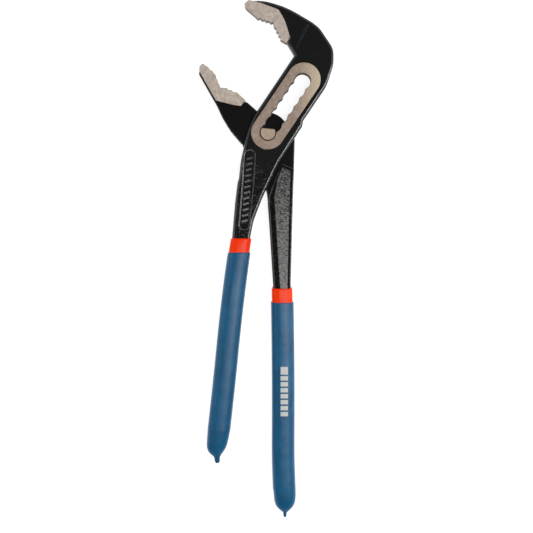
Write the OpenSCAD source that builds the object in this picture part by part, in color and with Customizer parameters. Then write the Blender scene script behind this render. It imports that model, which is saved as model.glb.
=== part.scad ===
// Tongue and groove pliers, 300 mm size, lying flat with the jaws towards +Y.
// The origin is on the axis of the pivot pin, in the plane of the rear ground boss.
// The slotted arm is a box: two walls with a scalloped slot in each, and a channel
// between them for the thin tongue of the inner arm. A D-section pin is keyed into the
// tongue. Its round side locks in a pair of scallops, and it slides along the slot only
// when the handles are wide open, with its flat parallel to the slot.

/* [Adjusting slot] */
// Number of locking positions along the slot
positions = 7; // [5:1:7]
// Distance between two neighbouring scallops
pitch = 6.7; // [6.4:0.1:6.8]
// Radius of each scallop
scallop_r = 5.25; // [5.15:0.05:5.4]
// Half the width between the blunt cusps of the slot
cusp_half = 4.45; // [4.2:0.05:4.6]
// Angle of the slot above the X axis
slot_angle = 56; // [55:0.5:57]

/* [Pivot pin] */
// Radius of the round side of the pin
pin_r = 4.95; // [4.7:0.05:4.95]
// Distance from the pin's axis to its flat
flat_at = 2.75; // [2.6:0.05:3]
// Direction that the flat faces with the handles as drawn
flat_dir = 84; // [80:1:88]
// Radius of the round core on which the two arms turn
core_r = 2.5; // [2.2:0.1:2.6]
// Radial clearance of the core
core_gap = 0.05; // [0.03:0.01:0.08]

/* [Thicknesses] */
// Over the two ground bosses
boss_t = 13.4; // [13.2:0.1:14]
// Over the ground jaw pads
pad_t = 13; // [12.8:0.1:13]
// Over the black walls of the box and the hook of the upper jaw
body_t = 12; // [11.8:0.1:12.2]
// Of the ledge behind the lower jaw's pad
ledge_t = 11.2; // [10.8:0.1:11.6]
// Of the channel between the walls
channel_t = 6.4; // [6.3:0.05:6.6]
// Of the tongue that runs in the channel
tongue_t = 6; // [5.8:0.05:6]
// Of the forged handles
handle_t = 9; // [8.6:0.1:9.2]

/* [Handles and grips] */
// Width of the forged handles under the grips
handle_w = 11.6; // [11.2:0.1:11.8]
// Thickness of the first, orange-red dip
undercoat = 1; // [0.8:0.1:1.1]
// Thickness of the second, blue dip
topcoat = 0.6; // [0.5:0.1:0.8]
// Height of the orange-red band that the second dip leaves bare
band_h = 9.2; // [8:0.2:10]
// Radius of the drip left at the end of each grip
drip_r = 1.7; // [1.4:0.1:1.9]

/* [Marks and teeth] */
// Depth of the teeth in the jaw pads
tooth_d = 0.9; // [0.6:0.1:1]
// Depth of the long recess in the slotted arm's handle
recess_d = 0.8; // [0.5:0.1:0.9]
// Number of plain ribs in the recess
ribs = 12; // [8:1:12]

/* [Hidden] */
mid = boss_t / 2;             // height of the mid-plane that both arms share
travel = (positions - 1) * pitch;
boss_r = 10.9;                // half the width of the race-track boss
boss_end = 1.4;               // the boss reaches this much further past the top scallop
channel_r = 19;               // the channel's rounded upper end, about the top scallop
hub_r = 13.2;                 // of the tongue, about the pin
arc_step = 7;                 // degrees between the points of a rounded corner
taper_top = -14;              // the slotted arm thins from body_t to handle_t from here
taper_end = -70;              // to here
taper = (body_t - handle_t) / 2 / (taper_top - taper_end);
black = [0.08, 0.08, 0.085];
ground = [0.68, 0.62, 0.57];
blue = [0.1, 0.3, 0.48];
orange = [0.95, 0.2, 0.06];
cut = 60;                     // longer than any cut needs
$fn = 72;

// Points of an outline. Each corner is [x, y, r], and r rounds it.
function unit(v) = v / norm(v);
function turned(v, a) = [v.x * cos(a) - v.y * sin(a), v.x * sin(a) + v.y * cos(a)];
function xy(v) = [v.x, v.y];
function corner(p, c, q, r) =
    let (a = unit(p - c), b = unit(q - c), half = acos(a * b) / 2,
         centre = c + unit(a + b) * r / sin(half),
         s = c + a * r / tan(half) - centre,
         e = c + b * r / tan(half) - centre,
         sweep = (180 - 2 * half) * sign(s.x * e.y - s.y * e.x),
         n = ceil(abs(sweep) / arc_step))
    [for (i = [0:n]) centre + turned(s, sweep * i / n)];
function outline(v) =
    [for (i = [0:len(v) - 1]) each v[i][2] == 0 ? [xy(v[i])] :
        corner(xy(v[(i + len(v) - 1) % len(v)]), xy(v[i]), xy(v[(i + 1) % len(v)]), v[i][2])];

// Teeth from a to b: crests on the line, roots tooth_d (times k) to its left
function teeth(a, b, count, k = 1) =
    let (n = turned(unit(b - a), 90) * tooth_d * k)
    [for (i = [0:count - 1]) let (p = a + (b - a) * i / count, q = a + (b - a) * (i + 0.5) / count)
        each [[p.x, p.y, 0], [q.x + n.x, q.y + n.y, 0]]];

// A point u along the slot from the pin and v to its left
function slot_xy(u, v) = turned([u, v], slot_angle);

// A smooth line through hand-chosen points, and the closed strip of half width h about it,
// with a round end at its last point
function blend(p0, p1, p2, p3, t) =
    0.5 * (2 * p1 + (p2 - p0) * t + (2 * p0 - 5 * p1 + 4 * p2 - p3) * t * t
           + (3 * p1 - p0 - 3 * p2 + p3) * t * t * t);
function smooth_line(v, n = 4) =
    [for (i = [0:len(v) - 2]) for (k = [0:n - 1])
        blend(v[max(i - 1, 0)], v[i], v[i + 1], v[min(i + 2, len(v) - 1)], k / n),
     v[len(v) - 1]];
function heading(v, i) = unit(v[min(i + 1, len(v) - 1)] - v[max(i - 1, 0)]);
function strip(v, h) =
    let (n = len(v) - 1, end = heading(v, n))
    [for (i = [0:n]) v[i] + turned(heading(v, i), -90) * h,
     for (a = [-90 + arc_step:arc_step:90 - arc_step]) v[n] + turned(end, a) * h,
     for (i = [n:-1:0]) v[i] + turned(heading(v, i), 90) * h];

// A flat plate of thickness t about the mid-plane
module plate(t) {
    translate([0, 0, mid - t / 2])
        linear_extrude(t)
            children();
}

// Both faces, front and rear
module both_faces() {
    children();
    translate([0, 0, boss_t])
        mirror([0, 0, 1])
            children();
}

// ---- Slotted arm: upper hook jaw, box with the slot, and left handle, one forging

hook_and_box = outline([
    [-13.8, 83.8, 0.5], [-11.8, 85.7, 1], [-3.5, 85.9, 30], [12, 81.6, 60], [28.5, 71.8, 0],
    [33.5, 68, 18], [42.6, 54.4, 12], [42.6, 43.8, 20], [38.2, 30.6, 25], [22.9, 8, 0],
    [22.5, 5, 1], [20.7, 1.9, 1], [6.5, -20.5, 60], [-3.2, -41, 60], [-9.4, -57, 30],
    [-13.2, -74, 0], [-22.6, -74, 0], [-22.4, -58, 0], [-21.2, -44, 80], [-19.7, -32.4, 0],
    [-18.8, -29.4, 0], [-17.8, -19, 50], [-13.3, 1, 60], [-9.3, 10.6, 20], [17.2, 50.2, 0.8],
    [12.9, 57.2, 0], [11.5, 60, 0], [7.5, 67, 0], [5.5, 73, 0], [-6, 78, 0], [-13, 82.5, 0]]);

upper_pad = outline(concat(
    [[-14.5, 80.9, 0.6], [-15.3, 83.4, 1.4], [-12.4, 85.9, 1.2], [-4, 83.8, 10], [6.9, 79.7, 2.5],
     [11.2, 72.5, 30], [14.2, 62.2, 1.5], [12.1, 57.9, 0.3]],
    teeth([9.6, 59.3], [4.2, 70.2], 4), teeth([3.4, 71.6], [-7.6, 75.2], 4), [[-8.6, 75.9, 0]]));

slotted_handle_line = smooth_line([
    [-14.9, -52], [-17.4, -68], [-22, -102], [-25, -128], [-27.6, -154], [-30.6, -182], [-33, -203.3]]);

// A race-track outline of radius r along the slot
function race_track(r, from, to) =
    [for (a = [-90:5:90]) slot_xy(to, 0) + turned([r, 0], slot_angle + a),
     for (a = [90:5:270]) slot_xy(from, 0) + turned([r, 0], slot_angle + a)];

module scalloped_slot() {
    for (i = [0:positions - 1])
        translate(slot_xy(i * pitch, 0))
            circle(scallop_r);
    rotate(slot_angle)
        translate([0, -cusp_half])
            square([travel, 2 * cusp_half]);
}

module channel() {
    translate(slot_xy(travel, 0))
        circle(channel_r);
    polygon([slot_xy(travel, channel_r), slot_xy(-10, channel_r), [-24, -25.6], [1, -45.3],
             slot_xy(travel + 20.8, -24), slot_xy(travel + 18.6, -2)]);
}

// The arm seen from its side: it thins towards the handle
module side_profile() {
    half = body_t / 2;
    thin = handle_t / 2;
    translate([-cut, 0, mid])
        rotate([90, 0, 90])
            linear_extrude(2 * cut)
                polygon([[100, half], [taper_top, half], [taper_end, thin], [-240, thin],
                         [-240, -thin], [taper_end, -thin], [taper_top, -half], [100, -half]]);
}

recess_from = [-11.6, -14.8];
recess_to = [-15.3, -59];

// Puts what it holds on the tapered front face, with z = 0 on the face
module on_tapered_face() {
    translate([0, taper_top, mid + body_t / 2])
        rotate([atan(taper), 0, 0])
            translate([0, -taper_top, 0])
                children();
}

module recess() {
    on_tapered_face()
        translate([0, 0, -recess_d])
            linear_extrude(2 * recess_d)
                polygon(outline([
                    [-15.3, -9.8, 3.4], [-7.9, -9.8, 3.4], [-9.4, -36, 200],
                    [-12.4, -63.2, 2.8], [-18.9, -62.4, 2.8], [-16.6, -36, 200]]));
}

// A row of plain slanted ribs along the floor of the recess
module recess_ribs() {
    run = recess_to - recess_from;
    lean = atan2(run.y, run.x) + 90;
    on_tapered_face()
        for (i = [0:ribs - 1])
            translate(recess_from + run * (i + 0.5) / ribs)
                rotate(lean + 20)
                    translate([-1.7, -0.5, -recess_d - 0.1])
                        cube([3.6, 1, 0.55]);
}

// A shallow groove beside the end of a pad, where the broach runs out
module run_out(p, q, w, t) {
    d = q - p;
    translate([p.x, p.y, mid + t / 2])
        rotate(atan2(d.y, d.x))
            translate([-1, 0, -0.7])
                cube([norm(d) + 2, w, 3]);
}

module slotted_arm() {
    color(black)
        difference() {
            union() {
                intersection() {
                    plate(body_t)
                        union() {
                            polygon(hook_and_box);
                            polygon(strip(slotted_handle_line, handle_w / 2));
                        }
                    side_profile();
                }
                plate(pad_t)
                    polygon(upper_pad);
                plate(boss_t)
                    polygon(race_track(boss_r, 0, travel + boss_end));
                // shallow rib across the root of the hook
                plate(body_t + 0.5)
                    polygon([[24.2, 69.2], [27, 70.2], [18.9, 55], [17.6, 53.6]]);
            }
            plate(channel_t)
                channel();
            translate([0, 0, -1])
                linear_extrude(boss_t + 2)
                    scalloped_slot();
            both_faces()
                run_out([12.3, 57.9], [14.3, 61.8], -1.2, body_t);
            both_faces()
                recess();
        }
    color(black)
        recess_ribs();
}

// ---- Inner arm: lower jaw, tongue with the hub, and right handle, one forging

lower_pad = outline(concat(
    [[-14.4, 20.9, 0.3], [-17.5, 17.2, 0.8], [-23, 18, 20], [-33.7, 20.8, 0.8], [-44.4, 39.6, 1.5],
     [-44.3, 43, 1], [-42, 44.9, 0.6]],
    teeth([-40.6, 43.6], [-34.8, 38.4], 2, 0.5), teeth([-34.8, 38.4], [-31.6, 30], 3, 0.6),
    [[-30.6, 29, 0]],
    teeth([-28.6, 28.9], [-19, 24.8], 3)));

lower_ledge = outline([
    [-43.8, 41, 0], [-44.8, 38.2, 1.5], [-34.4, 19.8, 0], [-33.3, 21.2, 0], [-36, 30, 0]]);

jaw_neck = outline([
    [-40, 33, 0], [-40.6, 30.9, 0], [-33.2, 17.8, 40], [-29.8, 10.2, 40], [-24.4, 1.2, 40],
    [-16.5, -8, 12], [-5, -13, 0], [0, 0, 0], [0, 13, 0], [-6.6, 13.9, 4], [-13.2, 19.8, 0],
    [-30, 24, 0]]);

handle_neck = outline([
    [-17, -7, 3], [-12.5, -17, 30], [-4.5, -29.5, 30], [-0.6, -38.5, 20], [0.9, -60, 60],
    [3.3, -98, 0], [14.2, -98, 0], [15.8, -60, 0], [16.5, -36, 60], [17.5, -4.2, 2.5],
    [11.6, 6, 0], [0, 10, 0]]);

inner_handle = outline([
    [8.2, -19.6, 0.5], [17, -23.2, 1], [16.5, -36, 60], [15.8, -60, 0], [14.9, -99.8, 0],
    [3.4, -99.8, 0], [0.9, -60, 60], [-0.1, -46, 0], [0.2, -41, 0], [4, -30.3, 0]]);

inner_handle_line = smooth_line([
    [8.6, -80], [9.1, -98], [9.5, -118], [9.9, -150], [10, -182], [10, -212], [11, -239.4]]);

// Ridge of the inner handle: from here to its left edge the face falls to the tongue
ridge_top = [8.4, -19];
ridge_mid = [4.2, -42];
ridge_end = [8.2, -104];

// Removes the metal above a facet that falls away to the left of the ridge
module facet(p, q) {
    d = q - p;
    fall = atan((handle_t - tongue_t) / 2 / 3.6);
    both_faces()
        translate([p.x, p.y, mid + handle_t / 2])
            rotate(atan2(d.y, d.x))
                rotate([fall, 0, 0])
                    translate([-12, -12, 0])
                        cube([norm(d) + 14, 12, 6]);
}

module d_section() {
    difference() {
        circle(pin_r);
        rotate(flat_dir)
            translate([flat_at, -pin_r])
                square(2 * pin_r);
    }
}

module inner_arm() {
    color(black)
        difference() {
            union() {
                plate(tongue_t)
                    union() {
                        polygon(jaw_neck);
                        circle(hub_r);
                        polygon(handle_neck);
                    }
                plate(ledge_t)
                    polygon(lower_ledge);
                plate(pad_t)
                    polygon(lower_pad);
                difference() {
                    plate(handle_t)
                        polygon(inner_handle);
                    facet(ridge_top, ridge_mid);
                    facet(ridge_mid, ridge_end);
                }
                plate(handle_t)
                    intersection() {
                        polygon(strip(inner_handle_line, handle_w / 2));
                        translate([-cut, -5 * cut])
                            square([2 * cut, 5 * cut - 99.5]);
                    }
            }
            plate(boss_t)
                d_section();
            both_faces()
                run_out([-14.3, 20.7], [-17.3, 17.1], 1.2, ledge_t);
        }
}

// ---- Pivot pin, keyed in the tongue by its flat, and its round core

module pivot_pin() {
    length = boss_t - 0.6;
    edge = 0.35;
    color(ground)
        difference() {
            intersection() {
                plate(length)
                    d_section();
                translate([0, 0, mid - length / 2])
                    rotate_extrude()
                        polygon([[0, 0], [pin_r - edge, 0], [pin_r, edge],
                                 [pin_r, length - edge], [pin_r - edge, length], [0, length]]);
            }
            translate([0, 0, -1])
                cylinder(r = core_r + core_gap, h = boss_t - 2);
        }
}

module pivot_core() {
    color(ground)
        translate([0, 0, 0.3])
            cylinder(r = core_r, h = boss_t - 3.6);
}

// ---- Dipped grips: each handle is dipped twice

slotted_band_y = -68.3;
inner_band_y = -100.2;

// The handle below the line y = top, grown by the coats g that cover it
module dipped(line, top, g) {
    plate(handle_t + 2 * g)
        intersection() {
            polygon(strip(line, handle_w / 2 + g));
            translate([-cut, top - 5 * cut])
                square([2 * cut, 5 * cut]);
        }
}

// The drip that hangs from the lowest point of the wet coat and sets there
module drip(at) {
    translate([at.x, at.y, mid])
        rotate([90, 0, 0])
            cylinder(r = drip_r, h = 10.4 - drip_r);
    translate([at.x, at.y - 10.4 + drip_r, mid])
        sphere(drip_r);
}

module first_dip(line, top) {
    color(orange)
        difference() {
            dipped(line, top, undercoat);
            dipped(line, top + 1, 0);
        }
}

module second_dip(line, top) {
    end = line[len(line) - 1];
    color(blue)
        difference() {
            union() {
                dipped(line, top - band_h, undercoat + topcoat);
                drip(end);
            }
            dipped(line, top, undercoat);
        }
}

module slotted_arm_undercoat() {
    first_dip(slotted_handle_line, slotted_band_y);
}

module slotted_arm_grip() {
    second_dip(slotted_handle_line, slotted_band_y);
}

module inner_arm_undercoat() {
    first_dip(inner_handle_line, inner_band_y);
}

module inner_arm_grip() {
    second_dip(inner_handle_line, inner_band_y);
}

slotted_arm();
inner_arm();
pivot_pin();
pivot_core();
slotted_arm_undercoat();
slotted_arm_grip();
inner_arm_undercoat();
inner_arm_grip();
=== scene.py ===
import math

import bmesh
import bpy
from mathutils import Matrix, Vector


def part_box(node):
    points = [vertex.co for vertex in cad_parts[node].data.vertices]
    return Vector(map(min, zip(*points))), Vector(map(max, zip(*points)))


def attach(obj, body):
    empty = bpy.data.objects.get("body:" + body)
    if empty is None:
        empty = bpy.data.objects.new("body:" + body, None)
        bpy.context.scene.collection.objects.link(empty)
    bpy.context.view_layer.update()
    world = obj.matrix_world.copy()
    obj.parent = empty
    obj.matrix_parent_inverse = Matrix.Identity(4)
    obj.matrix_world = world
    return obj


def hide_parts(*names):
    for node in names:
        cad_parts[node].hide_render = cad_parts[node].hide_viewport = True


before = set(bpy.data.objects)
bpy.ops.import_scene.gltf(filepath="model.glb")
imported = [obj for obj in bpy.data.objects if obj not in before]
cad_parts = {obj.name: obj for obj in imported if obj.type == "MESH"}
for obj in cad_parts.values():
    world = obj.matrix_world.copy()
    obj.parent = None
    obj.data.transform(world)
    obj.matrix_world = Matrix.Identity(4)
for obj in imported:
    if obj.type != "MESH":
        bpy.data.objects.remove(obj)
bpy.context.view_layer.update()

# The bench: a pale sheet of board that the pliers lie on, lit by soft boxes on both sides and
# one overhead, seen from straight above by a long lens.
CAMERA_HEIGHT = 1.3
VIEW_CENTRE = Vector((-0.0009, -0.0867, 0))
FOCAL_LENGTH = 134.3
BOARD_HALF = 3
BOARD_GAP = 0.0002                            # the board lies just clear of the lower faces
WHITE = (1, 1, 1, 1)

bench_mesh = bpy.data.meshes.new("bench")
bm = bmesh.new()
bmesh.ops.create_grid(bm, x_segments=1, y_segments=1, size=BOARD_HALF)
bmesh.ops.translate(bm, verts=bm.verts, vec=(0, 0, -BOARD_GAP))
bm.to_mesh(bench_mesh)
bm.free()
bench = bpy.data.objects.new("bench", bench_mesh)
bpy.context.scene.collection.objects.link(bench)

board = bpy.data.materials.new("white_board")
board.use_nodes = True
board_shader = board.node_tree.nodes["Principled BSDF"]
board_shader.inputs["Base Color"].default_value = (0.5, 0.5, 0.5, 1)
board_shader.inputs["Roughness"].default_value = 0.9
board_shader.inputs["Emission Color"].default_value = WHITE
board_shader.inputs["Emission Strength"].default_value = 0.85
bench_mesh.materials.append(board)


def soft_box(name, place, size, watts, aim=(0, -0.08, 0)):
    """A rectangular soft light that looks at the pliers."""
    light = bpy.data.lights.new(name, "AREA")
    light.shape = "RECTANGLE"
    light.size, light.size_y = size
    light.energy = watts
    lamp = bpy.data.objects.new(name, light)
    lamp.location = place
    lamp.rotation_euler = (Vector(aim) - Vector(place)).to_track_quat("-Z", "Y").to_euler()
    bpy.context.scene.collection.objects.link(lamp)


soft_box("main_soft_box", (0.3, -0.12, 1.15), (0.09, 0.8), 3.3)
soft_box("right_strip", (0.62, -0.1, 0.95), (0.03, 1.1), 1.5)
soft_box("low_right_strip", (0.95, -0.1, 0.4), (0.06, 1.1), 1.6)
soft_box("left_strip", (-0.9, 0.0, 0.6), (0.3, 1.0), 1.0)

world = bpy.data.worlds.new("studio")
world.use_nodes = True
daylight = world.node_tree.nodes["Background"]
daylight.inputs["Color"].default_value = WHITE
daylight.inputs["Strength"].default_value = 0.3
bpy.context.scene.world = world
bpy.context.scene.view_settings.view_transform = "Standard"

lens = bpy.data.cameras.new("camera")
lens.sensor_width = 36
lens.lens = FOCAL_LENGTH
camera = bpy.data.objects.new("camera", lens)
camera.location = VIEW_CENTRE + Vector((0, 0, CAMERA_HEIGHT))
bpy.context.scene.collection.objects.link(camera)
bpy.context.scene.camera = camera


# Slotted arm: one drop-forged steel piece, the upper hook jaw, the box with its scalloped slot
# and the left handle. It is blackened all over, then the jaw pad and the race-track boss round
# the slot are ground bare. The teeth are broached and the long recess is struck by the die.
MM = 0.001
BOSS_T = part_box("slotted_arm")[1].z / MM      # thickness over the two ground bosses
MID = BOSS_T / 2                              # height of the mid-plane of both arms
BODY_T = 12.0
PAD_T = 13.0
HANDLE_T = 9.0
HANDLE_W = 11.6
CHANNEL_T = 6.4
TOOTH_D = 0.9
SLOT_ANGLE = math.radians(56)
PITCH = 6.7
POSITIONS = 7
TRAVEL = (POSITIONS - 1) * PITCH
SCALLOP_R = 5.25
CUSP_HALF = 4.45
BOSS_R = 10.9
BOSS_END = 1.4                                # the boss runs on this much past the last place
BODY_RIM = 1.5
GROUND_RIM = 0.25
HOOK_RIB_H = 0.5
CHANNEL_R = 19
TAPER_TOP, TAPER_END = -14.0, -70.0           # between these the arm thins to its handle
HANDLE_FROM = -66                             # below this the handle is a plain bar
BLACK, GROUND, EDGE, CUT, FACE, PAD = range(6)    # material slots of both arms

# Outlines are corners (x, y, radius) in millimetres. The pin's first place is the origin, and the
# handles run down along -Y.
HOOK_AND_BOX = [
    (-12.6, 85.2, 0), (-3.5, 85.9, 30), (12, 81.6, 60), (28.5, 71.8, 0), (33.5, 68, 18),
    (42.6, 54.4, 12), (42.6, 43.8, 20), (38.2, 30.6, 25), (22.9, 8, 0), (22.4, 4.6, 0),
    (20.4, 1.5, 0), (6.5, -20.5, 60), (-3.2, -41, 60), (-9.4, -57, 30)]
BOX_LEFT = [
    (-22.4, -58, 0), (-21.2, -44, 80), (-19.7, -32.4, 0), (-18.8, -29.4, 0), (-17.8, -19, 50),
    (-13.3, 1, 60), (-9.3, 10.6, 20), (17.2, 50.2, 0), (12.9, 57.2, 0), (11.5, 60, 0),
    (7.5, 67, 0), (5.5, 73, 0), (-6, 78, 0), (-12.4, 82.5, 0)]
UPPER_PAD = [
    (-14.5, 80.9, 0.6), (-15.3, 83.4, 1.4), (-12.4, 85.9, 1.2), (-4, 83.8, 10), (6.9, 79.7, 2.5),
    (11.2, 72.5, 30), (14.2, 62.2, 1.5), (12.1, 57.9, 0)]
HOOK_RIB = [(24.2, 69.2, 0), (27, 70.2, 0), (18.9, 55, 0), (17.6, 53.6, 0)]
RECESS = [
    (-15.3, -11.2, 3.4), (-8.0, -11.2, 3.4), (-9.4, -36, 200), (-12.4, -63.2, 2.8),
    (-18.9, -62.4, 2.8), (-16.6, -36, 200)]
SLOTTED_HANDLE = [
    (-14.9, -52), (-17.4, -68), (-22, -102), (-25, -128), (-27.6, -154), (-30.6, -182), (-33, -203.3)]


def turn(vector, angle):
    """A vector in the plane, turned about the origin."""
    return Matrix.Rotation(angle, 2) @ Vector(vector)


def rounded(corners, step=math.radians(6)):
    """The outline through corners (x, y, r), each rounded to its radius r."""
    points = []
    for i, (x, y, r) in enumerate(corners):
        c = Vector((x, y))
        if r == 0:
            points.append(c)
            continue
        a = (Vector(corners[i - 1][:2]) - c).normalized()
        b = (Vector(corners[(i + 1) % len(corners)][:2]) - c).normalized()
        half = a.angle(b) / 2
        centre = c + (a + b).normalized() * r / math.sin(half)
        start = c + a * r / math.tan(half) - centre
        sweep = (math.pi - 2 * half) * (1 if a.cross(b) < 0 else -1)
        count = math.ceil(abs(sweep) / step)
        points += [centre + turn(start, sweep * k / count) for k in range(count + 1)]
    return points


def teeth(a, b, count, depth=1.0):
    """Corners of a row of teeth from a to b, with the roots to the left of the line."""
    a, b = Vector(a), Vector(b)
    root = turn((b - a).normalized(), math.pi / 2) * TOOTH_D * depth
    corners = []
    for i in range(count):
        crest, low = a.lerp(b, i / count), a.lerp(b, (i + 0.5) / count) + root
        corners += [(*crest, 0), (*low, 0)]
    return corners


def smooth_line(points, steps=5):
    """A smooth line through a few points, as a spline that passes through each of them."""
    v = [Vector(p) for p in points]
    line = []
    for i in range(len(v) - 1):
        p0, p1, p2, p3 = v[max(i - 1, 0)], v[i], v[i + 1], v[min(i + 2, len(v) - 1)]
        for t in (k / steps for k in range(steps)):
            line.append(0.5 * (2 * p1 + (p2 - p0) * t + (2 * p0 - 5 * p1 + 4 * p2 - p3) * t ** 2
                               + (3 * p1 - p0 - 3 * p2 + p3) * t ** 3))
    return line + [v[-1]]


def bar(line, half, step=math.radians(7)):
    """The outline of a bar about a line: down one side, round its end and up the other."""
    last = len(line) - 1
    ahead = [(line[min(i + 1, last)] - line[max(i - 1, 0)]).normalized() for i in range(last + 1)]
    down = [p + turn(d, -math.pi / 2) * half for p, d in zip(line, ahead)]
    up = [p + turn(d, math.pi / 2) * half for p, d in zip(line, ahead)]
    count = round(math.pi / step)
    end = [line[last] + turn(ahead[last], -math.pi / 2 + math.pi * k / count) * half
           for k in range(1, count)]
    return down + end + up[::-1]


def plate(name, points, thickness, rim=0.0, segments=3, finish=BLACK, edge=EDGE, centre=MID):
    """A flat plate about a height, with its two rims rounded. Sizes are in millimetres."""
    bm = bmesh.new()
    floor = centre - thickness / 2
    base = bm.faces.new([bm.verts.new((p.x * MM, p.y * MM, floor * MM)) for p in points])
    lifted = bmesh.ops.extrude_face_region(bm, geom=[base])["geom"]
    bmesh.ops.translate(bm, verts=[v for v in lifted if isinstance(v, bmesh.types.BMVert)],
                        vec=(0, 0, thickness * MM))
    bmesh.ops.recalc_face_normals(bm, faces=bm.faces)
    for face in bm.faces:
        face.material_index = finish
    if rim:
        level = [e for e in bm.edges if abs(e.verts[0].co.z - e.verts[1].co.z) < 1e-7]
        round_off(bm, level, rim, segments, edge)
    return shape_from(name, bm)


def round_off(bm, edges, width, segments, finish):
    """Rounds edges, and gives the new faces their own finish."""
    made = bmesh.ops.bevel(bm, geom=edges, offset=width * MM, offset_type="OFFSET", segments=segments,
                           profile=0.5, affect="EDGES", material=-1, clamp_overlap=False)
    for face in made["faces"]:
        face.material_index = finish


STAND_INS = [bpy.data.materials.new("finish_" + word)
             for word in ("black", "ground", "edge", "cut", "face", "pad")]


def shape_from(name, bm):
    """Makes a shape of a bmesh, with a stand-in for each finish."""
    mesh = bpy.data.meshes.new(name)
    bm.to_mesh(mesh)
    bm.free()
    for stand_in in STAND_INS:                # the joins and cuts keep apart what they tell apart
        mesh.materials.append(stand_in)
    shape = bpy.data.objects.new(name, mesh)
    bpy.context.scene.collection.objects.link(shape)
    return shape


def sides_to(shape, finish):
    """Gives the upright sides of a plate their own finish."""
    for face in shape.data.polygons:
        if abs(face.normal.z) < 0.1:
            face.material_index = finish
    return shape


def settle(shape):
    """Replaces a shape's mesh by what its modifiers make of it."""
    graph = bpy.context.evaluated_depsgraph_get()
    made = bpy.data.meshes.new_from_object(shape.evaluated_get(graph))
    old = shape.data
    shape.modifiers.clear()
    shape.data = made
    bpy.data.meshes.remove(old)
    made.name = shape.name


def combine(shape, tool, operation):
    """Joins a tool shape to a shape, or cuts it away, and drops the tool."""
    cut = shape.modifiers.new("combine", "BOOLEAN")
    cut.operation = operation
    cut.object = tool
    cut.solver = "EXACT"
    cut.material_mode = "INDEX"
    settle(shape)
    bpy.data.objects.remove(tool)


def finish_shape(shape, finishes, sharp=math.radians(38)):
    """Gives a shape its materials and even, smooth shading between its sharp edges."""
    mesh = shape.data
    bm = bmesh.new()
    bm.from_mesh(mesh)
    bmesh.ops.remove_doubles(bm, verts=bm.verts, dist=1e-6)
    bmesh.ops.dissolve_degenerate(bm, edges=bm.edges, dist=1e-6)
    bmesh.ops.recalc_face_normals(bm, faces=bm.faces)
    bm.to_mesh(mesh)
    bm.free()
    for i, finish in enumerate(finishes):
        mesh.materials[i] = finish
    while len(mesh.materials) > len(finishes):
        mesh.materials.pop()
    mesh.shade_smooth()
    mesh.set_sharp_from_angle(angle=sharp)
    even = shape.modifiers.new("even", "WEIGHTED_NORMAL")
    even.keep_sharp = True
    even.weight = 90
    settle(shape)


def face_height(y):
    """Height of the slotted arm's front face above the mid-plane, which falls along the taper."""
    t = min(max((TAPER_TOP - y) / (TAPER_TOP - TAPER_END), 0), 1)
    return (BODY_T + (HANDLE_T - BODY_T) * t) / 2


def slot_point(along, left=0.0):
    """A place along the slot from its first position, and to the left of it."""
    return turn((along, left), SLOT_ANGLE)


def race_track(radius, start, end, step=5):
    """Two half circles about places along the slot, in degrees from the slot's direction."""
    def half_circle(along, first):
        return [slot_point(along) + turn((radius, 0), SLOT_ANGLE + math.radians(a))
                for a in range(first, first + 181, step)]
    return half_circle(end, -90) + half_circle(start, 90)


def scalloped_outline():
    """One side of the slot after the other: round scallops with blunt cusps between them."""
    reach = math.acos(CUSP_HALF / SCALLOP_R)
    points = []
    for side in (0, math.pi):
        for i in range(POSITIONS):
            centre = slot_point((i if side == 0 else POSITIONS - 1 - i) * PITCH)
            first = -math.pi / 2 - reach if i else -math.pi
            last = -math.pi / 2 + reach if i < POSITIONS - 1 else 0
            count = math.ceil((last - first) / math.radians(8))    # no step over 8 degrees
            for k in range(count + (i < POSITIONS - 1)):
                swing = first + (last - first) * k / count
                points.append(centre + turn((SCALLOP_R, 0), SLOT_ANGLE + side + swing))
    return points


slotted_line = smooth_line(SLOTTED_HANDLE)
handle_sides = bar(slotted_line[:-3], HANDLE_W / 2)    # it ends inside the grip
handle_part = [(p.x, p.y, 0) for p in reversed(handle_sides) if p.y < HANDLE_FROM]
arm_outline = rounded(HOOK_AND_BOX + handle_part + BOX_LEFT)
slotted_arm = plate("slotted_arm_forging", arm_outline, BODY_T, rim=BODY_RIM)
bm = bmesh.new()
bm.from_mesh(slotted_arm.data)
for y in (TAPER_TOP, TAPER_END):
    bmesh.ops.bisect_plane(bm, geom=[*bm.verts, *bm.edges, *bm.faces], dist=1e-7,
                           plane_co=(0, y * MM, 0), plane_no=(0, 1, 0))
for v in bm.verts:
    v.co.z = MID * MM + (v.co.z - MID * MM) * face_height(v.co.y / MM) / face_height(0)
bm.to_mesh(slotted_arm.data)
bm.free()

upper_pad = plate("pad", rounded(UPPER_PAD + teeth((9.6, 59.3), (4.2, 70.2), 4)
                                 + teeth((3.4, 71.6), (-7.6, 75.2), 4) + [(-8.6, 75.9, 0)]),
                  PAD_T, rim=GROUND_RIM, segments=2, finish=PAD, edge=PAD)
combine(slotted_arm, sides_to(upper_pad, CUT), "UNION")
hook_rib = plate("rib", rounded(HOOK_RIB), BODY_T + 2 * HOOK_RIB_H, rim=HOOK_RIB_H, segments=2)
combine(slotted_arm, hook_rib, "UNION")
boss = plate("boss", race_track(BOSS_R, 0, TRAVEL + BOSS_END), BOSS_T, rim=GROUND_RIM, segments=2,
             finish=GROUND, edge=GROUND)
combine(slotted_arm, sides_to(boss, BLACK), "UNION")

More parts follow.
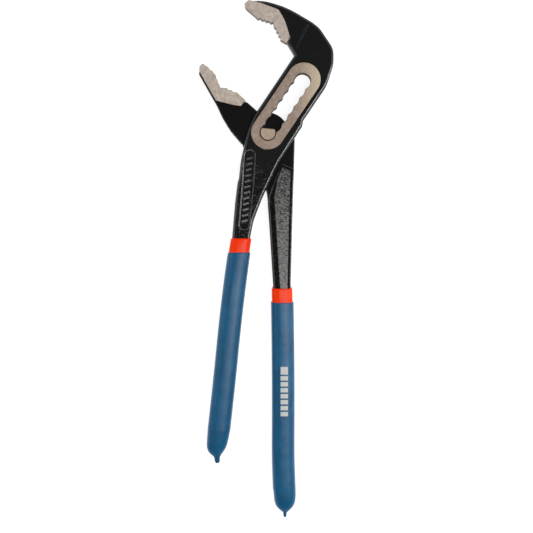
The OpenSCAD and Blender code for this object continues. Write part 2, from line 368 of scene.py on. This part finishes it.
channel = [slot_point(TRAVEL, CHANNEL_R), slot_point(-10, CHANNEL_R), Vector((-24, -25.6)),
           Vector((1, -45.3)), slot_point(TRAVEL + 20.8, -24)]
channel += [slot_point(TRAVEL) + turn((CHANNEL_R, 0), SLOT_ANGLE + math.radians(a))
            for a in range(-6, 85, 6)]
combine(slotted_arm, plate("channel", channel, CHANNEL_T, finish=BLACK), "DIFFERENCE")
combine(slotted_arm, plate("slot", scalloped_outline(), BOSS_T + 2, finish=CUT), "DIFFERENCE")


def round_rims(shape, wanted, width, finish):
    """Rounds the edges between level faces and upright sides whose middle is wanted."""
    bm = bmesh.new()
    bm.from_mesh(shape.data)
    rims = []
    for edge in bm.edges:
        if len(edge.link_faces) == 2 and wanted((edge.verts[0].co + edge.verts[1].co) / 2 / MM):
            upright, level = sorted(abs(face.normal.z) for face in edge.link_faces)
            if upright < 0.1 and level > 0.9:
                rims.append(edge)
    round_off(bm, rims, width, 2, finish)
    bm.to_mesh(shape.data)
    bm.free()


def on_boss_face(middle):
    """Whether a place is on the face of either boss."""
    return abs(middle.z - MID) > BOSS_T / 2 - 0.01


round_rims(slotted_arm, on_boss_face, GROUND_RIM, CUT)


def skewed(shape, front):
    """Leans a cutter that was made at the front face so that it follows the handle's taper."""
    slope = (BODY_T - HANDLE_T) / 2 / (TAPER_TOP - TAPER_END)
    bm = bmesh.new()
    bm.from_mesh(shape.data)
    for v in bm.verts:
        v.co.z += (v.co.y - TAPER_TOP * MM) * slope
        if not front:
            v.co.z = 2 * MID * MM - v.co.z
    bmesh.ops.recalc_face_normals(bm, faces=bm.faces)
    bm.to_mesh(shape.data)
    bm.free()
    return shape


RECESS_D = 0.8
RECESS_FLOOR_RIM = 0.4
RECESS_LIP = 0.35
CUTTER_T = 4
FRONT = MID + BODY_T / 2
# The mirrored cutter of the rear pass ends up inside out and cuts nothing, so the rear face
# of this handle is plain.
for front in (True, False):
    pocket = plate("pocket", rounded(RECESS), CUTTER_T, rim=RECESS_FLOOR_RIM, segments=2,
                   centre=FRONT + CUTTER_T / 2 - RECESS_D)
    combine(slotted_arm, skewed(pocket, front), "DIFFERENCE")


STRIP_TOP, STRIP_END = -9.5, -64              # from the boss's foot to just past the recess
STRIP_X, STRIP_LEAN, STRIP_HALF = -7.57, 0.1, 7.8


def in_recess_strip(middle):
    """Whether a place is in the strip that leans with the handle and holds the recess."""
    strip_x = STRIP_X + STRIP_LEAN * (middle.y - STRIP_TOP)
    return STRIP_END < middle.y < STRIP_TOP and abs(middle.x - strip_x) < STRIP_HALF


round_rims(slotted_arm, in_recess_strip, RECESS_LIP, EDGE)

RIBS = 12
RIB_SIZE = (4.2 * MM, 1.3 * MM, 1.2 * MM)
RIB_RIM = 0.28
RIB_LEAN = math.radians(20)                   # from square across the recess
rib_from, rib_to = Vector((-11.6, -14.8)), Vector((-15.3, -59))
run = rib_to - rib_from
across = math.atan2(run.y, run.x) + math.pi / 2
bm = bmesh.new()
for i in range(RIBS):
    place = rib_from + run * (i + 0.5) / RIBS
    made = bmesh.ops.create_cube(bm, size=1)["verts"]
    bmesh.ops.scale(bm, verts=made, vec=RIB_SIZE)
    bmesh.ops.rotate(bm, verts=made, matrix=Matrix.Rotation(across + RIB_LEAN, 3, "Z"))
    bmesh.ops.translate(bm, verts=made, vec=(place.x * MM, place.y * MM, (FRONT - RECESS_D) * MM))
round_off(bm, bm.edges[:], RIB_RIM, 2, FACE)
for face in bm.faces:
    face.material_index = FACE
combine(slotted_arm, skewed(shape_from("ribs", bm), True), "UNION")

GROOVE_D = 0.7
GROOVE_RIM = 0.3


def run_out(shape, a, b, width, thickness):
    """Cuts a shallow groove beside the end of a pad, front and rear, where the broach ran out."""
    a, b = Vector(a), Vector(b)
    ahead = (b - a).normalized()
    side = turn(ahead, math.pi / 2) * width
    corners = [a - ahead, b + ahead, b + ahead + side, a - ahead + side]
    for way in (1, -1):
        groove = plate("groove", corners, CUTTER_T, rim=GROOVE_RIM, segments=2,
                       centre=MID + way * (thickness / 2 + CUTTER_T / 2 - GROOVE_D))
        combine(shape, groove, "DIFFERENCE")


run_out(slotted_arm, (12.3, 57.9), (14.3, 61.8), -1.2, BODY_T)


class Wire:
    """A socket in a material's node tree. Arithmetic on it adds Math nodes."""

    def __init__(self, tree, socket=None):
        self.tree, self.socket = tree, socket

    def node(self, kind, settings=None, sockets=None, out=0):
        """Adds a node, sets its settings and then its sockets, and gives one of its outputs."""
        made = self.tree.nodes.new("ShaderNode" + kind)
        for name, value in (settings or {}).items():
            setattr(made, name, value)
        for key, value in (sockets or {}).items():
            if isinstance(value, Wire):
                self.tree.links.new(value.socket, made.inputs[key])
            else:
                made.inputs[key].default_value = value
        return Wire(self.tree, made.outputs[out])

    def math(self, operation, other=0.0):
        return self.node("Math", {"operation": operation}, {0: self, 1: other})

    def __add__(self, other):
        return self.math("ADD", other)

    def __mul__(self, other):
        return self.math("MULTIPLY", other)

    def __sub__(self, other):
        return self.math("SUBTRACT", other)

    def __rsub__(self, other):
        return self * -1.0 + other

    __radd__ = __add__
    __rmul__ = __mul__

    def spread(self, low, high):
        """0 at low and 1 at high, and clamped between them."""
        return self.node("MapRange", {"clamp": True}, {"Value": self, "From Min": low, "From Max": high})

    def blend(self, low, high):
        """One colour where this is 0, the other where it is 1."""
        return self.node("Mix", {"data_type": "RGBA"}, {0: self, 6: low, 7: high}, out=2)

    def place(self):
        """Position on the object, in millimetres."""
        here = self.node("TexCoord", out="Object")
        return self.node("VectorMath", {"operation": "SCALE"}, {0: here, "Scale": 1 / MM})

    def axis(self, name):
        return self.node("SeparateXYZ", None, {0: self}, out=name)

    def noise(self, scale, detail=3.0, rough=0.5):
        return self.node("TexNoise", None, {"Vector": self, "Scale": scale, "Detail": detail,
                                            "Roughness": rough})

    def stretched(self, turned, long, fine):
        """The position turned about Z and squeezed along X, for a grain that runs one way."""
        return self.node("Mapping", None, {"Vector": self, "Rotation": (0, 0, -turned),
                                           "Scale": (long, fine, fine)})

    def bump(self, depth):
        """A normal from this as a height, where 1 stands for a depth in millimetres."""
        return self.node("Bump", None, {"Height": self, "Distance": depth * MM, "Strength": 1.0})


def colour(red, green, blue):
    """A colour from its screen values, 0 to 255."""
    return (*(((c / 255 + 0.055) / 1.055) ** 2.4 for c in (red, green, blue)), 1.0)


def new_finish(name, recipe):
    """A material whose shader sockets are set by a recipe that starts from the place."""
    material = bpy.data.materials.new(name)
    material.use_nodes = True
    shader = material.node_tree.nodes["Principled BSDF"]
    for socket, value in recipe(Wire(material.node_tree).place()).items():
        if isinstance(value, Wire):
            material.node_tree.links.new(value.socket, shader.inputs[socket])
        else:
            shader.inputs[socket].default_value = value
    return material


def forging(dark, grey, rough_from, rough_to, wear, gloss, roughness=0.38, relief=0.3):
    """Blackened scale: smooth on the head, pitted and rubbed where the handle is rough."""
    def recipe(place):
        rough_zone = place.axis("Y").spread(rough_from, rough_to)
        pits = place.noise(1.1, 4.0, 0.65)
        clouds = place.noise(0.25, 3.0, 0.5)
        specks = place.noise(0.95, 3.0, 0.6).spread(0.54, 0.68)
        rubbed = (specks * (rough_zone * 0.6 + 0.05) * clouds.spread(0.3, 0.6)
                  + pits * 0.04 + wear).math("MINIMUM", 1.0)
        height = pits * (rough_zone * 0.7 + 0.12) + specks * (rough_zone * 0.5 + 0.03)
        return {"Base Color": rubbed.blend(colour(*dark), colour(*grey)),
                "Roughness": roughness + (rough_zone + pits) * (roughness * 0.33),
                "Normal": height.bump(relief), "Specular IOR Level": gloss}
    return recipe


def scoured(dark, grey, lay, brighter_to):
    """Scale rubbed off to grey in fine streaks, lighter towards the grip. Where it is given to a face
    that catches the light, its grey also paints that sheen.
    """
    def recipe(place):
        streaks = place.stretched(lay, 0.5, 1.0).noise(1.0, 4.0, 0.7)
        pits = place.noise(0.7, 3.0, 0.6).spread(0.52, 0.68)
        towards_grip = place.axis("Y").spread(-20, brighter_to)
        tone = streaks.spread(0.38, 0.62) * 0.6 + towards_grip * 0.5 - pits * (0.66 - towards_grip * 0.4)
        return {"Base Color": tone.math("MAXIMUM", 0.0).math("MINIMUM", 1.0)
                .blend(colour(*dark), colour(*grey)),
                "Metallic": 0.1, "Roughness": 0.5 + streaks * 0.15,
                "Normal": (streaks * 0.7 - pits * 0.6).bump(0.22), "Specular IOR Level": 0.25}
    return recipe


def bare_steel(light, shade, lay, metallic=0.55, grain=0.05, painted_light_side=None):
    """Ground steel: fine grinding lines one way, faint clouds and small dark pits, and where asked a
    painted lit side, lighter and warmer towards +X.
    """
    def recipe(place):
        lines = place.stretched(lay, 0.25, 5.0).noise(1.0, 3.0, 0.6)
        clouds = place.noise(0.4, 5.0, 0.65)
        pits = place.noise(1.1, 3.0, 0.7).spread(0.6, 0.74)
        tone = clouds.spread(0.3, 0.7) * 0.5 + lines.spread(0.3, 0.7) * 0.25 + pits * 0.25
        tint = tone.blend(colour(*light), colour(*shade))
        # painted light: towards +X the colour is blended to a lighter, warmer one that stands for the
        # light on that side
        if painted_light_side:
            tint = place.axis("X").spread(18, 35).blend(tint, colour(*painted_light_side))
        return {"Base Color": tint,
                "Metallic": metallic,
                "Roughness": 0.42 + lines * 0.16 + pits * 0.1,
                "Normal": (lines * 0.6 - pits).bump(grain)}
    return recipe


black_forging = new_finish("slotted_arm_black", forging((9, 9, 10), (128, 125, 123), -14, -30, 0, 0.08))
black_edge = new_finish("slotted_arm_rim", forging((18, 18, 19), (120, 118, 117), -16, -34, 0.05, 1.0,
                                                   roughness=0.18, relief=0.08))
# the boss's right side is painted lighter and warmer, for the light that falls on it
ground_boss = new_finish("ground_steel", bare_steel((184, 164, 149), (108, 91, 80), SLOT_ANGLE,
                                                    painted_light_side=(212, 196, 168)))
ground_pad = new_finish("ground_jaw_steel", bare_steel((232, 217, 203), (142, 126, 115), 0.4, 0.4, 0.08))
# painted shade: the upright cut sides get a dark steel colour that stands for the shade they lie in,
# while the same steel on top is light
broached_painted_shade = new_finish("broached_steel_painted_shade", bare_steel((96, 89, 84), (52, 47, 45), 1.2, 0.5))
# the ribs' light grey is partly rubbed scale and partly a painted highlight, for the light that the
# raised ribs catch
rib_rubbed_and_painted_highlight = new_finish("rib_rubbed_and_painted_highlight", scoured((56, 55, 54), (150, 148, 145), 1.4, -60))
finish_shape(slotted_arm, [black_forging, ground_boss, black_edge, broached_painted_shade, rib_rubbed_and_painted_highlight, ground_pad])
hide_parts("slotted_arm")
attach(slotted_arm, "slotted_arm_body")


# Inner arm: one drop-forged steel piece too, the lower jaw, the thin tongue that runs in the
# box's channel, and the right handle. The tongue has a hub round the pin. The handle's front
# and rear faces fall away to the left of a ridge.
TONGUE_T = 6.0
LEDGE_T = 11.2
HUB_R = 13.2
LOWER_PAD = [
    (-14.4, 20.9, 0.3), (-17.5, 17.2, 0.8), (-23, 18, 20), (-33.7, 20.8, 0.8), (-44.4, 39.6, 1.5),
    (-44.3, 43, 1), (-42, 44.9, 0.6)]
LOWER_LEDGE = [(-43.8, 41, 0), (-44.8, 38.2, 1.5), (-34.4, 19.8, 0), (-33.3, 21.2, 0), (-36, 30, 0)]
JAW_NECK = [
    (-40, 33, 0), (-40.6, 30.9, 0), (-33.2, 17.8, 40), (-29.8, 10.2, 40), (-24.4, 1.2, 40),
    (-16.5, -8, 12), (-5, -13, 0), (0, 0, 0), (0, 13, 0), (-6.6, 13.9, 4), (-13.2, 19.8, 0),
    (-30, 24, 0)]
HANDLE_NECK = [
    (-17, -7, 3), (-12.5, -17, 30), (-4.5, -29.5, 30), (-0.6, -38.5, 20), (-0.1, -45, 0), (2, -52, 0),
    (6, -90, 0), (12, -90, 0), (14, -60, 0), (14.5, -30, 0), (16.95, -23.5, 0), (17.5, -4.2, 2.5),
    (11.6, 6, 0), (0, 10, 0)]
INNER_HANDLE_TOP = [(8.2, -19.6, 0), (17, -23.2, 0), (16.5, -36, 60), (15.8, -60, 60)]
INNER_HANDLE_LEFT = [(0.9, -60, 60), (-0.1, -46, 0), (0.2, -41, 0), (4, -30.3, 0)]
INNER_HANDLE = [
    (8.6, -80), (9.1, -98), (9.5, -118), (9.9, -150), (10, -182), (10, -212), (11, -239.4)]
INNER_HANDLE_FROM = -96                       # below this it is a plain bar
INNER_HANDLE_RIM = 1.3
TONGUE_RIM = 0.6
HUB_RIM = 0.4
RIDGE = [Vector((8.4, -19)), Vector((4.2, -42)), Vector((8.2, -104))]
RIDGE_RIM = 0.9
FALL = 1.5 / 3.6                              # how steeply the face falls to the left of the ridge

inner_line = smooth_line(INNER_HANDLE)
handle_sides = bar(inner_line[:-2], HANDLE_W / 2)    # it ends inside the grip
handle_part = [(p.x, p.y, 0) for p in reversed(handle_sides) if p.y < INNER_HANDLE_FROM]
inner_handle = plate("inner_handle", rounded(INNER_HANDLE_TOP + handle_part + INNER_HANDLE_LEFT),
                     HANDLE_T, rim=INNER_HANDLE_RIM)


def left_of(a, b, x, y):
    """How far a place lies to the left of the line down from a to b."""
    d = (b - a).normalized()
    return max(0.0, (x - a.x) * d.y - (y - a.y) * d.x)


def ridge_height(x, y):
    """Half the handle's thickness at a place."""
    if y < RIDGE[2].y - 1e-4:
        return HANDLE_T / 2
    from_ridge = max(left_of(a, b, x, y) for a, b in zip(RIDGE, RIDGE[1:]))
    return HANDLE_T / 2 - FALL * from_ridge


bm = bmesh.new()
bm.from_mesh(inner_handle.data)
valley = ((RIDGE[0] - RIDGE[1]).normalized() + (RIDGE[2] - RIDGE[1]).normalized()).normalized()
for through, along in ((RIDGE[0], RIDGE[1] - RIDGE[0]), (RIDGE[2], RIDGE[2] - RIDGE[1]),
                       (RIDGE[1], valley), (RIDGE[2], Vector((1, 0)))):
    bmesh.ops.bisect_plane(bm, geom=[*bm.verts, *bm.edges, *bm.faces], dist=1e-7,
                           plane_co=(through.x * MM, through.y * MM, 0),
                           plane_no=(along.y, -along.x, 0))
for v in bm.verts:
    half = ridge_height(v.co.x / MM, v.co.y / MM)
    v.co.z = MID * MM + (v.co.z - MID * MM) * half / (HANDLE_T / 2)
ridge_edges = []
for edge in bm.edges:
    full_height = all(abs(v.co.z / MM - MID) > HANDLE_T / 2 - 0.02 for v in edge.verts)
    nearly_level = all(abs(face.normal.z) > 0.9 for face in edge.link_faces)
    if full_height and nearly_level and edge.calc_face_angle(0) > math.radians(14):
        ridge_edges.append(edge)
round_off(bm, ridge_edges, RIDGE_RIM, 3, BLACK)
for face in bm.faces:
    # painted sheen: the handle's level faces take the grey rubbed finish, partly rubbed scale and partly
    # the sheen the rough face catches from the light
    level = abs(face.normal.z) > 0.999 and face.material_index == BLACK
    # painted highlight: the rims facing right, towards the light, take the lighter rubbed finish for
    # their bright line
    right_rim_painted_highlight = face.normal.x > 0.1 and abs(face.normal.z) > 0.5 and face.material_index == EDGE
    if level or right_rim_painted_highlight:
        face.material_index = FACE
bm.to_mesh(inner_handle.data)
bm.free()

inner_arm = plate("inner_arm_forging", rounded(JAW_NECK), TONGUE_T, rim=TONGUE_RIM, segments=2)
hub = [turn((HUB_R, 0), math.radians(a)) for a in range(0, 360, 5)]
lower_pad = plate("pad", rounded(LOWER_PAD + teeth((-40.6, 43.6), (-34.8, 38.4), 2, 0.5)
                                 + teeth((-34.8, 38.4), (-31.6, 30), 3, 0.6) + [(-30.6, 29, 0)]
                                 + teeth((-28.6, 28.9), (-19, 24.8), 3)),
                  PAD_T, rim=GROUND_RIM, segments=2, finish=GROUND, edge=GROUND)
for part in (plate("hub", hub, TONGUE_T, rim=HUB_RIM, segments=2),
             plate("neck", rounded(HANDLE_NECK), TONGUE_T, rim=TONGUE_RIM, segments=2),
             plate("ledge", rounded(LOWER_LEDGE), LEDGE_T, rim=HUB_RIM, segments=2),
             sides_to(lower_pad, CUT), inner_handle):
    combine(inner_arm, part, "UNION")

PIN_R = 4.95
FLAT_AT = 2.75
FLAT_DIRECTION = math.radians(84)


def d_section(radius, flat, count=40):
    """A circle with one flat, as both the pin and its seat in the tongue have it."""
    swing = math.acos(flat / radius)
    return [turn((radius, 0), FLAT_DIRECTION + swing + (2 * math.pi - 2 * swing) * k / count)
            for k in range(count + 1)]


combine(inner_arm, plate("seat", d_section(PIN_R, FLAT_AT), BOSS_T, finish=CUT), "DIFFERENCE")
run_out(inner_arm, (-14.3, 20.7), (-17.3, 17.1), 1.2, LEDGE_T)

inner_black = new_finish("inner_arm_black", forging((7, 7, 8), (100, 98, 97), -22, -36, 0.0, 0.06))
inner_edge = new_finish("inner_arm_rim", forging((16, 16, 17), (110, 108, 106), -22, -36, 0.02, 1.0,
                                                 roughness=0.18, relief=0.08))
# the handle face's grey is partly rubbed scale and partly painted sheen
inner_face_rubbed_and_sheen = new_finish("inner_arm_rubbed_and_painted_sheen", scoured((20, 20, 20), (162, 161, 158), 1.57, -108))
finish_shape(inner_arm, [inner_black, ground_pad, inner_edge, broached_painted_shade, inner_face_rubbed_and_sheen])
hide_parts("inner_arm")
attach(inner_arm, "inner_arm_body")


# Pivot pin: a turned steel pin with one flat along it, pressed into the tongue so that it turns
# with the inner arm. Its bore, open to the rear, runs on the round core, the journal that the
# two arms turn on. The pin's face is ground with a small crown.
PIN_LENGTH = BOSS_T - 0.6
PIN_CROWN = 0.55
BORE_R = 2.55
BORE_TOP = BOSS_T - 2.0
STEEL = 0                                     # the pin has one finish all over
pin = plate("pivot_pin_steel", d_section(PIN_R, FLAT_AT), PIN_LENGTH, rim=PIN_CROWN, segments=4,
            finish=STEEL, edge=STEEL)
bore = [turn((BORE_R, 0), math.radians(a)) for a in range(0, 360, 6)]
combine(pin, plate("bore", bore, BOSS_T, finish=STEEL, centre=BORE_TOP - BOSS_T / 2), "DIFFERENCE")
pin_steel = new_finish("pin_steel", bare_steel((202, 180, 158), (150, 128, 112), 0.1, 0.5))
finish_shape(pin, [pin_steel])
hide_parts("pivot_pin")
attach(pin, "inner_arm_body")

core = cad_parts["pivot_core"]
core.data.materials.clear()
core.data.materials.append(pin_steel)


# First dip: each handle is dipped in orange-red vinyl, which sets as a glossy skin a millimetre
# thick. Only a band of it stays in sight, above the second dip.
UNDERCOAT = 1.0
TOPCOAT = 0.6
BAND_H = 9.2
FADE = 25.0                                   # the tilt of the upper edge dies away over this
BURIED = 3.0                                  # the inner skin stops this far above the line's end
DRIP_R = 2.0                                  # rings slimmer than this are round
INNER_END = 3.2                               # the inner skin closes over this length
RING_GAP = 2.0                                # the first ring is at least this far below the lip


def section(ring, turned):
    """A point on a ring: a soft-cornered oval across the handle, tilted as the dip's surface was."""
    x, y, half_w, half_t, softness, tilt, lean = ring
    c, s = math.cos(turned), math.sin(turned)
    u = math.copysign(abs(c) ** (2 / softness), c)
    w = math.copysign(abs(s) ** (2 / softness), s)
    across = Vector((math.cos(lean), math.sin(lean)))
    flat = Vector((x, y)) + across * half_w * u
    return Vector((flat.x, flat.y - tilt * w, MID + half_t * w)) * MM


def rolled(name, rings, sides=44):
    """A closed skin through rings: a grid rolled up, with its seam and its two poles merged."""
    bm = bmesh.new()
    bmesh.ops.create_grid(bm, x_segments=len(rings) - 1, y_segments=sides, size=0.5)
    for v in bm.verts:
        ring = rings[round((v.co.x + 0.5) * (len(rings) - 1))]
        v.co = section(ring, (v.co.y + 0.5) * 2 * math.pi)
    bmesh.ops.remove_doubles(bm, verts=bm.verts, dist=1e-6)
    bmesh.ops.recalc_face_normals(bm, faces=bm.faces)
    return shape_from(name, bm)


def run_of(line, top, stop, grow, softness, tilt):
    """Rings down a handle from one height to another, at a coat's distance from the steel."""
    rings = []
    last = len(line) - 1
    for i in range(last + 1):
        p, ahead = line[i], (line[min(i + 1, last)] - line[max(i - 1, 0)]).normalized()
        if not stop <= p.y <= top - RING_GAP:
            continue
        fade = max(0.0, 1 - (top - p.y) / FADE)
        lean = math.atan2(ahead.x, -ahead.y) * (1 - fade)
        rings.append((p.x, p.y, HANDLE_W / 2 + grow, HANDLE_T / 2 + grow, softness, tilt * fade, lean))
    return rings


def at_height(line, y):
    """Where a line passes a height."""
    for p, q in zip(line, line[1:]):
        if q.y <= y <= p.y:
            return p.lerp(q, (p.y - y) / (p.y - q.y)).x


def coat(name, line, grow, under, top, tilt, softness, under_softness, ending):
    """A skin over a handle, from its inner end up to the lip and down the outside to its end."""
    x = at_height(line, top)
    inside = run_of(line, top, line[-1].y + BURIED, under, under_softness, tilt)
    end_x, end_y, half_w, half_t, softest, no_tilt, lean = inside[-1]
    inner_end = [(end_x, end_y - INNER_END * k, half_w * w, half_t * w, 2.4, 0, lean)
                 for k, w in ((1.0, 0.0), (0.98, 0.25), (0.85, 0.62), (0.5, 0.9))]
    thick = grow - under
    lip = []
    for swing in (0, 0.5, 1.0, math.pi / 2):
        out = math.sin(swing)
        lip.append((x, top - thick * 0.9 * (1 - math.cos(swing)), HANDLE_W / 2 + under + thick * out,
                    HANDLE_T / 2 + under + thick * out,
                    under_softness * (1 - out) + softness * out, tilt, 0))
    outside = run_of(line, top - 1, ending[0][2], grow, softness, tilt)
    tail = []
    for left, right, y in ending:
        half = (right - left) / 2
        full = min(1.0, half / (HANDLE_W / 2 + grow))
        half_t = max(DRIP_R, (HANDLE_T / 2 + grow) * full ** 0.85) if half > DRIP_R else half
        tail.append(((left + right) / 2, y, half, half_t, 2.0 + (softness - 2.0) * full, 0, 0))
    return rolled(name, inner_end + inside[::-1] + lip + outside + tail)


def orange_vinyl(place):
    """Glossy orange-red vinyl, with a faint painted glow: its emission lights it up though it is no
    lamp.
    """
    waves = place.noise(0.12, 2.0)
    peel = place.noise(1.1, 2.0)
    return {"Base Color": waves.spread(0.3, 0.7).blend(colour(255, 60, 0), colour(252, 48, 0)),
            "Roughness": 0.16 + peel * 0.08,
            "Normal": (waves * 0.8 + peel * 0.08).bump(0.2), "Specular IOR Level": 0.1,
            # painted glow: a faint orange emission that brightens the vinyl
            "Emission Color": (1.0, 0.06, 0.0, 1.0), "Emission Strength": 0.18}


orange_dip = new_finish("orange_vinyl", orange_vinyl)
ARM_LINES = {"slotted_arm": (slotted_line, -68.3, 0.15), "inner_arm": (inner_line, -100.2, 0.9)}
BURIED_END = {"slotted_arm": [(-38.6, -26.4, -196), (-37.8, -28.2, -202), (-35.2, -31, -205.6),
                              (-33, -33, -206.4)],
              "inner_arm": [(4.4, 16.6, -232), (5.6, 15.6, -238), (8.4, 13.4, -241.6),
                            (11, 11, -242.6)]}
for arm, (line, top, tilt) in ARM_LINES.items():
    skin = coat(arm + "_first_dip", line, UNDERCOAT, 0.0, top, tilt, 3.0, 6.0, BURIED_END[arm])
    finish_shape(skin, [orange_dip])
    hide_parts(arm + "_undercoat")
    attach(skin, arm + "_body")


# Second dip: blue vinyl over the first, with a soft satin skin. It runs down as it sets, so each
# grip ends in a small drip. The right grip has a plain white print.
GRIP_END = {
    "slotted_arm": [
        (-39.3, -24.6, -194.0), (-39.6, -25.6, -199.0), (-39.8, -26.4, -202.3), (-39.6, -27.4, -204.8),
        (-38.9, -28.6, -206.8), (-37.5, -29.9, -208.5), (-36.0, -30.7, -209.7), (-35.1, -31.1, -210.7),
        (-34.75, -31.2, -211.7), (-34.65, -31.2, -212.8), (-34.4, -31.4, -213.8), (-33.8, -32.0, -214.5),
        (-32.9, -32.9, -214.7)],
    "inner_arm": [
        (3.5, 18.1, -232), (3.9, 18.1, -236), (4.3, 17.8, -239.4), (5.0, 17.0, -241.6),
        (6.2, 15.8, -243.4), (7.9, 14.3, -245.0), (9.4, 12.9, -246.1), (9.95, 12.3, -246.9),
        (10.05, 12.1, -247.8), (10.1, 12.05, -248.8), (10.35, 11.85, -249.4), (10.7, 11.5, -249.7),
        (11.1, 11.1, -249.78)]}


PRINT_LEFT, PRINT_RIGHT = 8.15, 13.1
PRINT_TOP, BLOCK_END, PRINT_END = -151.6, -156.8, -184.5
BARS_TOP = -157.6
BAR_PITCH = 3.86


def plain_print(place):
    """1 on the print, a block and a row of bars on the front face, and 0 beside it."""
    across, along = place.axis("X"), place.axis("Y")
    inside = (across.spread(PRINT_LEFT, PRINT_LEFT + 0.15)
              * across.spread(PRINT_RIGHT, PRINT_RIGHT - 0.15)
              * along.spread(PRINT_END, PRINT_END + 0.2) * along.spread(PRINT_TOP, PRINT_TOP - 0.2)
              * place.axis("Z").spread(MID, MID + 0.1))
    step = ((BARS_TOP - along) * (1 / BAR_PITCH)).math("FRACT")
    bars = step.spread(0.0, 0.05) * step.spread(0.78, 0.73)
    bars = bars.math("MINIMUM", along.spread(BARS_TOP + 0.1, BARS_TOP - 0.1))
    block = along.spread(BLOCK_END, BLOCK_END + 0.2)
    worn = place.noise(2.0, 3.0, 0.6).spread(0.72, 0.66)
    return inside * bars.math("MAXIMUM", block) * worn


def blue_vinyl(place, printed=False):
    """Satin blue vinyl with faint waves, a fine peel and scuffs, and bars on one grip."""
    waves = place.noise(0.1, 2.0)
    peel = place.noise(1.4, 3.0, 0.55)
    scuffs = place.stretched(0.3, 0.12, 1.6).noise(1.0, 3.0, 0.6).spread(0.6, 0.78)
    tone = waves.spread(0.3, 0.7).blend(colour(2, 101, 147), colour(0, 89, 131))
    body = (scuffs * 0.22).blend(tone, colour(70, 124, 160))
    rough = 0.24 + peel * 0.14 + scuffs * 0.1
    if printed:
        ink = plain_print(place)
        body = ink.blend(body, colour(226, 228, 224))
        rough = rough + ink * 0.15
    return {"Base Color": body, "Roughness": rough,
            "Normal": (waves * 1.2 + peel * 0.24 + scuffs * 0.05).bump(0.25), "Specular IOR Level": 0.38}


for arm, (line, top, tilt) in ARM_LINES.items():
    grip = coat(arm + "_second_dip", line, UNDERCOAT + TOPCOAT, UNDERCOAT, top - BAND_H, tilt, 2.5, 3.0,
                GRIP_END[arm])
    dip = new_finish(arm + "_blue_vinyl", lambda place: blue_vinyl(place, arm == "inner_arm"))
    finish_shape(grip, [dip])
    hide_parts(arm + "_grip")
    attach(grip, arm + "_body")
